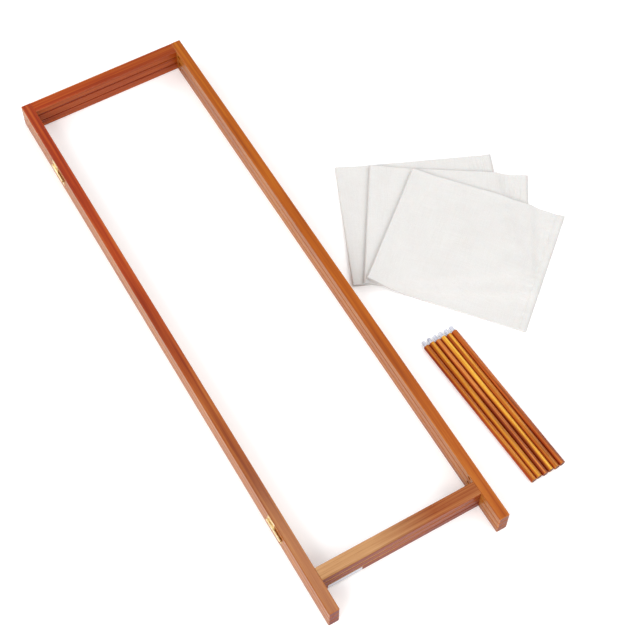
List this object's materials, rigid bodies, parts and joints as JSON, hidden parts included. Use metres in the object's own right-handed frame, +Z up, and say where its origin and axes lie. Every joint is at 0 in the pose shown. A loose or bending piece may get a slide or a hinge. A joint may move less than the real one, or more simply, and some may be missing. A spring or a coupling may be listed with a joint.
{
  "type": "folding screen",
  "caption": "Folding screen of hinged wooden frames, folded flat on the floor, with loose sprung-tip curtain rods and folded cotton cloths beside it.",
  "frame": {"origin": "on the floor, in the middle of the box around the folded screen, the rods and the cloths", "axes": "+X across the screen, from the side with the upper hinges towards the rods and cloths; +Y from the screen's feet to its head; +Z up from the floor that the folded screen lies on"},
  "size_m": [1.0374, 1.544, 0.068],
  "materials": {
    "stained_wood": "satin varnish over a reddish brown stain",
    "rod_wood": "satin varnish over a golden brown stain",
    "dowel_wood": "bare",
    "brass": "brushed",
    "brass_screws": "brushed",
    "white_plastic": "satin nylon",
    "spring_steel": "drawn wire",
    "cotton": "plain weave, unbleached cream",
    "paper": "blank paper"
  },
  "bodies": {
    "bottom_panel": {"bottom_panel_left_stile": "stained_wood", "bottom_panel_right_stile": "stained_wood", "bottom_panel_foot_rail": "stained_wood", "bottom_panel_head_rail": "stained_wood", "bottom_panel_dowels": "dowel_wood", "bottom_panel_hinge_screws": "brass_screws", "right_foot_hinge_pin_leaf": "brass", "right_foot_hinge_pin": "brass", "right_head_hinge_pin_leaf": "brass", "right_head_hinge_pin": "brass", "blank_label": "paper"},
    "middle_panel": {"middle_panel_left_stile": "stained_wood", "middle_panel_right_stile": "stained_wood", "middle_panel_foot_rail": "stained_wood", "middle_panel_head_rail": "stained_wood", "middle_panel_dowels": "dowel_wood", "middle_panel_hinge_screws": "brass_screws", "left_foot_hinge_pin_leaf": "brass", "left_foot_hinge_pin": "brass", "right_foot_hinge_socket_leaf": "brass", "left_head_hinge_pin_leaf": "brass", "left_head_hinge_pin": "brass", "right_head_hinge_socket_leaf": "brass"},
    "top_panel": {"top_panel_left_stile": "stained_wood", "top_panel_right_stile": "stained_wood", "top_panel_foot_rail": "stained_wood", "top_panel_head_rail": "stained_wood", "top_panel_dowels": "dowel_wood", "top_panel_hinge_screws": "brass_screws", "left_foot_hinge_socket_leaf": "brass", "left_head_hinge_socket_leaf": "brass"},
    "lower_cloth": {"lower_cloth": "cotton"},
    "middle_cloth": {"middle_cloth": "cotton"},
    "upper_cloth": {"upper_cloth": "cotton"},
    "rod_1": {"rod_1": "rod_wood", "rod_1_bush": "white_plastic", "rod_1_spring": "spring_steel"},
    "rod_1_tip": {"rod_1_tip": "white_plastic"},
    "rod_2": {"rod_2": "rod_wood", "rod_2_bush": "white_plastic", "rod_2_spring": "spring_steel"},
    "rod_2_tip": {"rod_2_tip": "white_plastic"},
    "rod_3": {"rod_3": "rod_wood", "rod_3_bush": "white_plastic", "rod_3_spring": "spring_steel"},
    "rod_3_tip": {"rod_3_tip": "white_plastic"},
    "rod_4": {"rod_4": "rod_wood", "rod_4_bush": "white_plastic", "rod_4_spring": "spring_steel"},
    "rod_4_tip": {"rod_4_tip": "white_plastic"},
    "rod_5": {"rod_5": "rod_wood", "rod_5_bush": "white_plastic", "rod_5_spring": "spring_steel"},
    "rod_5_tip": {"rod_5_tip": "white_plastic"},
    "rod_6": {"rod_6": "rod_wood", "rod_6_bush": "white_plastic", "rod_6_spring": "spring_steel"},
    "rod_6_tip": {"rod_6_tip": "white_plastic"}
  },
  "joints": [
    {"name": "left_hinge", "type": "hinge", "parent": "middle_panel", "child": "top_panel", "pos_m": [-0.51574, 0, 0.0455], "axis": [0, -1, 0], "range_deg": [0, 180]},
    {"name": "right_hinge", "type": "hinge", "parent": "bottom_panel", "child": "middle_panel", "pos_m": [-0.05934, 0, 0.0225], "axis": [0, 1, 0], "range_deg": [0, 95]},
    {"name": "lower_cloth_lift", "type": "slide", "parent": "bottom_panel", "child": "lower_cloth", "axis": [0.8, 0, 0.6], "range_m": [0, 0.12]},
    {"name": "middle_cloth_lift", "type": "slide", "parent": "lower_cloth", "child": "middle_cloth", "axis": [0.8, 0, 0.6], "range_m": [0, 0.12]},
    {"name": "upper_cloth_lift", "type": "slide", "parent": "middle_cloth", "child": "upper_cloth", "axis": [0.8, 0, 0.6], "range_m": [0, 0.12]},
    {"name": "rod_1_lift", "type": "slide", "parent": "bottom_panel", "child": "rod_1", "axis": [0, 0, 1], "range_m": [0, 0.08]},
    {"name": "rod_2_lift", "type": "slide", "parent": "bottom_panel", "child": "rod_2", "axis": [0, 0, 1], "range_m": [0, 0.08]},
    {"name": "rod_3_lift", "type": "slide", "parent": "bottom_panel", "child": "rod_3", "axis": [0, 0, 1], "range_m": [0, 0.08]},
    {"name": "rod_4_lift", "type": "slide", "parent": "bottom_panel", "child": "rod_4", "axis": [0, 0, 1], "range_m": [0, 0.08]},
    {"name": "rod_5_lift", "type": "slide", "parent": "bottom_panel", "child": "rod_5", "axis": [0, 0, 1], "range_m": [0, 0.08]},
    {"name": "rod_6_lift", "type": "slide", "parent": "bottom_panel", "child": "rod_6", "axis": [0, 0, 1], "range_m": [0, 0.08]},
    {"name": "rod_1_tip_press", "type": "slide", "parent": "rod_1", "child": "rod_1_tip", "axis": [0.0593, -0.9982, 0], "range_m": [0, 0.013], "stiffness_N_per_m": 300, "springref_m": -0.005, "deforming": ["rod_1_spring"]},
    {"name": "rod_2_tip_press", "type": "slide", "parent": "rod_2", "child": "rod_2_tip", "axis": [0.0593, -0.9982, 0], "range_m": [0, 0.013], "stiffness_N_per_m": 300, "springref_m": -0.005, "deforming": ["rod_2_spring"]},
    {"name": "rod_3_tip_press", "type": "slide", "parent": "rod_3", "child": "rod_3_tip", "axis": [0.0593, -0.9982, 0], "range_m": [0, 0.013], "stiffness_N_per_m": 300, "springref_m": -0.005, "deforming": ["rod_3_spring"]},
    {"name": "rod_4_tip_press", "type": "slide", "parent": "rod_4", "child": "rod_4_tip", "axis": [0.0593, -0.9982, 0], "range_m": [0, 0.013], "stiffness_N_per_m": 300, "springref_m": -0.005, "deforming": ["rod_4_spring"]},
    {"name": "rod_5_tip_press", "type": "slide", "parent": "rod_5", "child": "rod_5_tip", "axis": [0.0593, -0.9982, 0], "range_m": [0, 0.013], "stiffness_N_per_m": 300, "springref_m": -0.005, "deforming": ["rod_5_spring"]},
    {"name": "rod_6_tip_press", "type": "slide", "parent": "rod_6", "child": "rod_6_tip", "axis": [0.0593, -0.9982, 0], "range_m": [0, 0.013], "stiffness_N_per_m": 300, "springref_m": -0.005, "deforming": ["rod_6_spring"]}
  ]
}
